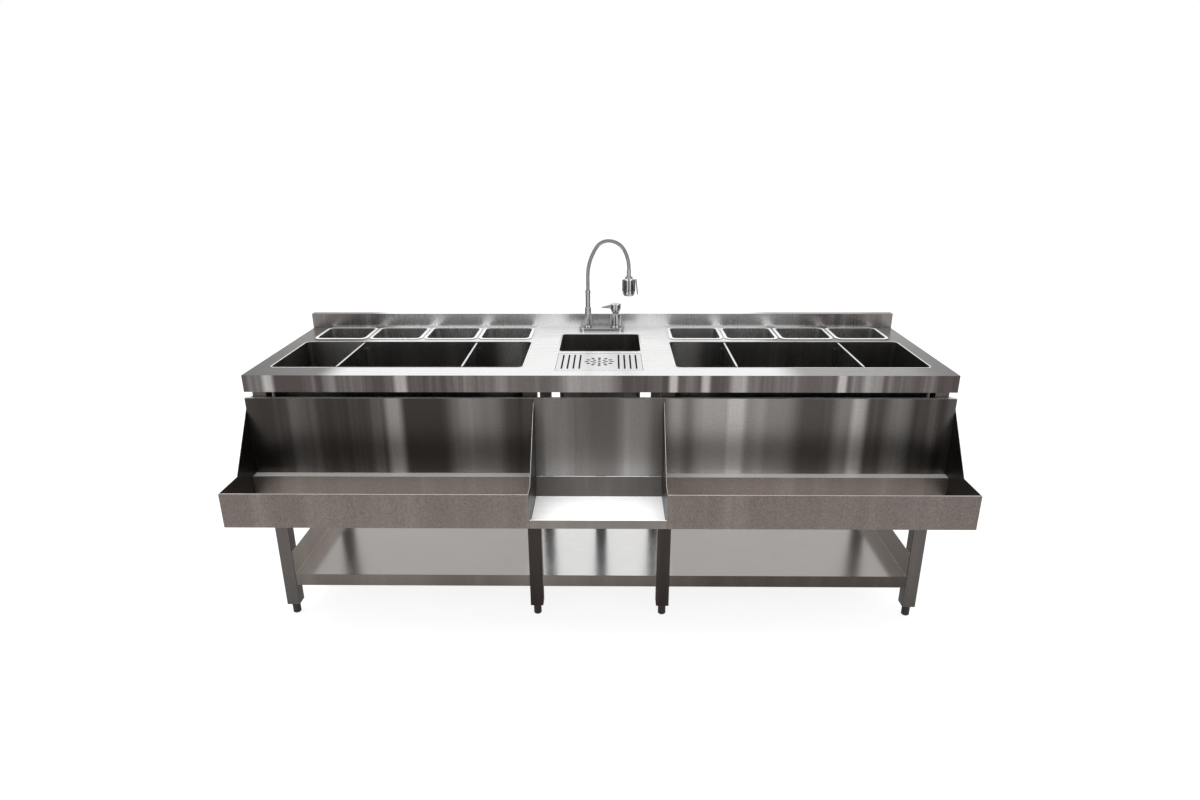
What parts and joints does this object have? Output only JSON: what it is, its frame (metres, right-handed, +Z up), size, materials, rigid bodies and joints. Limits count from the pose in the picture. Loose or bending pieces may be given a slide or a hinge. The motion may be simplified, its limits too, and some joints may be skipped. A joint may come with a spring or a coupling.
{
  "type": "bar sink with ice bin",
  "caption": "Free-standing stainless bar station: worktop with sink, ice bins and garnish pans, gooseneck spray tap, bottle rails in front, lower shelf on square legs with levelling feet.",
  "frame": {"origin": "on the floor, under the middle of the footprint", "axes": "+X along the station to the right seen from the front, +Y to the back, +Z up"},
  "size_m": [2.016, 0.806, 1.1089],
  "materials": {
    "worktop": "satin, brushed along the station",
    "frame": "mill",
    "tube": "brushed along the tube",
    "foot": "matt",
    "shelf": "satin",
    "liner": "satin",
    "insert": "satin",
    "pan": "polished",
    "front": "brushed upright",
    "waste": "matt",
    "fitting": "polished",
    "tap": "bright",
    "hose": "bright, ribbed"
  },
  "bodies": {
    "stand": {"worktop": "worktop", "top_frame": "frame", "leg_front_left_end": "tube", "leg_front_left_mid": "tube", "leg_front_right_end": "tube", "leg_front_right_mid": "tube", "leg_rear_left_end": "tube", "leg_rear_left_mid": "tube", "leg_rear_right_end": "tube", "leg_rear_right_mid": "tube", "lower_shelf": "shelf", "ice_bin_left": "liner", "bin_drain_left": "waste", "bottle_rail_left": "front", "front_panel_left": "front", "ice_bin_right": "liner", "bin_drain_right": "waste", "bottle_rail_right": "front", "front_panel_right": "front", "centre_panel": "front", "centre_shelf": "front", "sink_bowl": "liner", "sink_waste": "fitting", "waste_trap": "waste", "drain_pipe": "waste", "drip_tray": "liner", "tap_base": "tap", "tap_backnuts": "tap", "mixer_body": "tap", "spout_pillar": "tap"},
    "foot_front_left_end": {"foot_front_left_end": "foot"},
    "foot_front_left_mid": {"foot_front_left_mid": "foot"},
    "foot_front_right_end": {"foot_front_right_end": "foot"},
    "foot_front_right_mid": {"foot_front_right_mid": "foot"},
    "foot_rear_left_end": {"foot_rear_left_end": "foot"},
    "foot_rear_left_mid": {"foot_rear_left_mid": "foot"},
    "foot_rear_right_end": {"foot_rear_right_end": "foot"},
    "foot_rear_right_mid": {"foot_rear_right_mid": "foot"},
    "bin_divider_left_outer": {"bin_divider_left_outer": "insert"},
    "bin_divider_left_inner": {"bin_divider_left_inner": "insert"},
    "bin_false_bottom_left": {"bin_false_bottom_left": "insert"},
    "garnish_pan_left_1": {"garnish_pan_left_1": "pan"},
    "garnish_pan_left_2": {"garnish_pan_left_2": "pan"},
    "garnish_pan_left_3": {"garnish_pan_left_3": "pan"},
    "garnish_pan_left_4": {"garnish_pan_left_4": "pan"},
    "bin_divider_right_outer": {"bin_divider_right_outer": "insert"},
    "bin_divider_right_inner": {"bin_divider_right_inner": "insert"},
    "bin_false_bottom_right": {"bin_false_bottom_right": "insert"},
    "garnish_pan_right_1": {"garnish_pan_right_1": "pan"},
    "garnish_pan_right_2": {"garnish_pan_right_2": "pan"},
    "garnish_pan_right_3": {"garnish_pan_right_3": "pan"},
    "garnish_pan_right_4": {"garnish_pan_right_4": "pan"},
    "drain_grate": {"drain_grate": "fitting"},
    "sink_standpipe": {"sink_standpipe": "fitting"},
    "mixer_cartridge": {"mixer_cartridge": "tap"},
    "mixer_lever": {"mixer_lever": "tap"},
    "spout": {"spout_collar": "tap", "spout_hose": "hose"},
    "spray_head": {"spray_head": "tap"},
    "spray_lever": {"spray_lever": "tap"}
  },
  "joints": [
    {"name": "foot_front_left_end_turn", "type": "hinge", "parent": "stand", "child": "foot_front_left_end", "pos_m": [-0.968, -0.146, 0.038], "axis": [0, 0, 1], "continuous": true},
    {"name": "foot_front_left_mid_turn", "type": "hinge", "parent": "stand", "child": "foot_front_left_mid", "pos_m": [-0.197, -0.146, 0.038], "axis": [0, 0, 1], "continuous": true},
    {"name": "foot_front_right_end_turn", "type": "hinge", "parent": "stand", "child": "foot_front_right_end", "pos_m": [0.968, -0.146, 0.038], "axis": [0, 0, 1], "continuous": true},
    {"name": "foot_front_right_mid_turn", "type": "hinge", "parent": "stand", "child": "foot_front_right_mid", "pos_m": [0.197, -0.146, 0.038], "axis": [0, 0, 1], "continuous": true},
    {"name": "foot_rear_left_end_turn", "type": "hinge", "parent": "stand", "child": "foot_rear_left_end", "pos_m": [-0.968, 0.37, 0.038], "axis": [0, 0, 1], "continuous": true},
    {"name": "foot_rear_left_mid_turn", "type": "hinge", "parent": "stand", "child": "foot_rear_left_mid", "pos_m": [-0.197, 0.37, 0.038], "axis": [0, 0, 1], "continuous": true},
    {"name": "foot_rear_right_end_turn", "type": "hinge", "parent": "stand", "child": "foot_rear_right_end", "pos_m": [0.968, 0.37, 0.038], "axis": [0, 0, 1], "continuous": true},
    {"name": "foot_rear_right_mid_turn", "type": "hinge", "parent": "stand", "child": "foot_rear_right_mid", "pos_m": [0.197, 0.37, 0.038], "axis": [0, 0, 1], "continuous": true},
    {"name": "bin_divider_left_outer_lift", "type": "slide", "parent": "stand", "child": "bin_divider_left_outer", "axis": [0, 0, 1], "range_m": [0, 0.3]},
    {"name": "bin_divider_left_inner_lift", "type": "slide", "parent": "stand", "child": "bin_divider_left_inner", "axis": [0, 0, 1], "range_m": [0, 0.3]},
    {"name": "bin_false_bottom_left_lift", "type": "slide", "parent": "stand", "child": "bin_false_bottom_left", "axis": [0, 0, 1], "range_m": [0, 0.3]},
    {"name": "garnish_pan_left_1_lift", "type": "slide", "parent": "stand", "child": "garnish_pan_left_1", "axis": [0, 0, 1], "range_m": [0, 0.12]},
    {"name": "garnish_pan_left_2_lift", "type": "slide", "parent": "stand", "child": "garnish_pan_left_2", "axis": [0, 0, 1], "range_m": [0, 0.12]},
    {"name": "garnish_pan_left_3_lift", "type": "slide", "parent": "stand", "child": "garnish_pan_left_3", "axis": [0, 0, 1], "range_m": [0, 0.12]},
    {"name": "garnish_pan_left_4_lift", "type": "slide", "parent": "stand", "child": "garnish_pan_left_4", "axis": [0, 0, 1], "range_m": [0, 0.12]},
    {"name": "bin_divider_right_outer_lift", "type": "slide", "parent": "stand", "child": "bin_divider_right_outer", "axis": [0, 0, 1], "range_m": [0, 0.3]},
    {"name": "bin_divider_right_inner_lift", "type": "slide", "parent": "stand", "child": "bin_divider_right_inner", "axis": [0, 0, 1], "range_m": [0, 0.3]},
    {"name": "bin_false_bottom_right_lift", "type": "slide", "parent": "stand", "child": "bin_false_bottom_right", "axis": [0, 0, 1], "range_m": [0, 0.3]},
    {"name": "garnish_pan_right_1_lift", "type": "slide", "parent": "stand", "child": "garnish_pan_right_1", "axis": [0, 0, 1], "range_m": [0, 0.12]},
    {"name": "garnish_pan_right_2_lift", "type": "slide", "parent": "stand", "child": "garnish_pan_right_2", "axis": [0, 0, 1], "range_m": [0, 0.12]},
    {"name": "garnish_pan_right_3_lift", "type": "slide", "parent": "stand", "child": "garnish_pan_right_3", "axis": [0, 0, 1], "range_m": [0, 0.12]},
    {"name": "garnish_pan_right_4_lift", "type": "slide", "parent": "stand", "child": "garnish_pan_right_4", "axis": [0, 0, 1], "range_m": [0, 0.12]},
    {"name": "drain_grate_lift", "type": "slide", "parent": "stand", "child": "drain_grate", "axis": [0, 0, 1], "range_m": [0, 0.1]},
    {"name": "sink_standpipe_lift", "type": "slide", "parent": "stand", "child": "sink_standpipe", "axis": [0, 0, 1], "range_m": [0, 0.2]},
    {"name": "mixer_turn", "type": "hinge", "parent": "stand", "child": "mixer_cartridge", "pos_m": [0.05, 0.333, 0.86], "axis": [0, 0, 1], "range_deg": [-50, 50]},
    {"name": "mixer_lift", "type": "hinge", "parent": "mixer_cartridge", "child": "mixer_lever", "pos_m": [0.05, 0.333, 0.876], "axis": [0, 1, 0], "range_deg": [0, 25]},
    {"name": "spout_swivel", "type": "hinge", "parent": "stand", "child": "spout", "pos_m": [-0.043, 0.333, 0.872], "axis": [0, 0, 1], "continuous": true},
    {"name": "spray_swivel", "type": "hinge", "parent": "spout", "child": "spray_head", "pos_m": [0.0937, 0.333, 1.00013], "axis": [0, 0, 1], "continuous": true},
    {"name": "spray_press", "type": "hinge", "parent": "spray_head", "child": "spray_lever", "pos_m": [0.1172, 0.333, 0.97213], "axis": [0, 1, 0], "range_deg": [0, 8], "stiffness_Nm_per_rad": 0.1, "springref_deg": -11.46}
  ]
}
